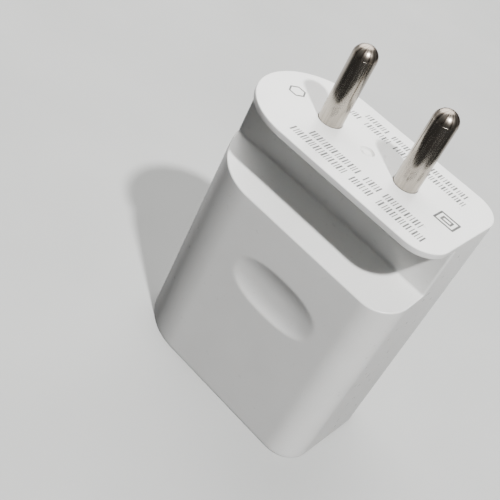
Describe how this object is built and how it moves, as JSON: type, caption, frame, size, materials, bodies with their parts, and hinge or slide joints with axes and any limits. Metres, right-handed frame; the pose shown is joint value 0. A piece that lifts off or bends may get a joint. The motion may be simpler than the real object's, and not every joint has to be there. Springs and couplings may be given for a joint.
{
  "type": "usb wall charger",
  "caption": "Two-port USB-A wall charger block with two round mains pins, a half-round section, a finger notch and a coloured face plate.",
  "frame": {"origin": "middle of the USB end, on the plane of the rim that the charger stands on", "axes": "+Z towards the mains pins, +X towards the flat end of the section, -Y the side with the finger notch and the dimple"},
  "size_m": [0.0496, 0.0284, 0.076],
  "materials": {
    "white_shell": "white moulded ABS or PC with a soft semi-gloss",
    "turquoise_face": "turquoise moulded plastic with a fine satin texture",
    "nickel_pin": "bright nickel plating on brass",
    "bronze_spring": "bare phosphor bronze strip",
    "tinned_steel": "drawn tin-plated steel",
    "black_plastic": "black moulding compound",
    "ferrite": "dark grey sintered ferrite",
    "winding_tape": "yellow polyester tape",
    "capacitor_can": "drawn aluminium",
    "capacitor_sleeve": "dark blue shrunk film",
    "board_laminate": "brown paper laminate circuit board",
    "copper_wire": "enamelled copper wire",
    "ceramic_coating": "blue dipped epoxy coating",
    "resistor_coating": "grey-green fireproof coating"
  },
  "bodies": {
    "root": {"housing": "white_shell", "face_plate": "turquoise_face", "line_pin": "nickel_pin", "line_contact_leaf": "bronze_spring", "neutral_pin": "nickel_pin", "neutral_contact_leaf": "bronze_spring", "usb_shell_1": "tinned_steel", "usb_insulator_1": "black_plastic", "usb_contact_1_1": "bronze_spring", "usb_contact_1_2": "bronze_spring", "usb_contact_1_3": "bronze_spring", "usb_contact_1_4": "bronze_spring", "usb_shell_2": "tinned_steel", "usb_insulator_2": "black_plastic", "usb_contact_2_1": "bronze_spring", "usb_contact_2_2": "bronze_spring", "usb_contact_2_3": "bronze_spring", "usb_contact_2_4": "bronze_spring", "transformer_core_lower": "ferrite", "transformer_core_upper": "ferrite", "transformer_bobbin": "black_plastic", "transformer_winding": "winding_tape", "input_capacitor_can_1": "capacitor_can", "input_capacitor_sleeve_1": "capacitor_sleeve", "input_capacitor_can_2": "capacitor_can", "input_capacitor_sleeve_2": "capacitor_sleeve", "output_capacitor_can_1": "capacitor_can", "output_capacitor_sleeve_1": "capacitor_sleeve", "output_capacitor_can_2": "capacitor_can", "output_capacitor_sleeve_2": "capacitor_sleeve", "bridge_rectifier": "black_plastic", "optocoupler": "black_plastic", "fusible_resistor": "resistor_coating", "choke_core": "ferrite", "choke_coil": "copper_wire", "y_capacitor": "ceramic_coating", "rectifier_diode": "black_plastic", "controller_chip": "black_plastic", "chip_resistor_1": "black_plastic", "chip_resistor_2": "black_plastic", "chip_resistor_3": "black_plastic", "circuit_board": "board_laminate"}
  },
  "joints": []
}
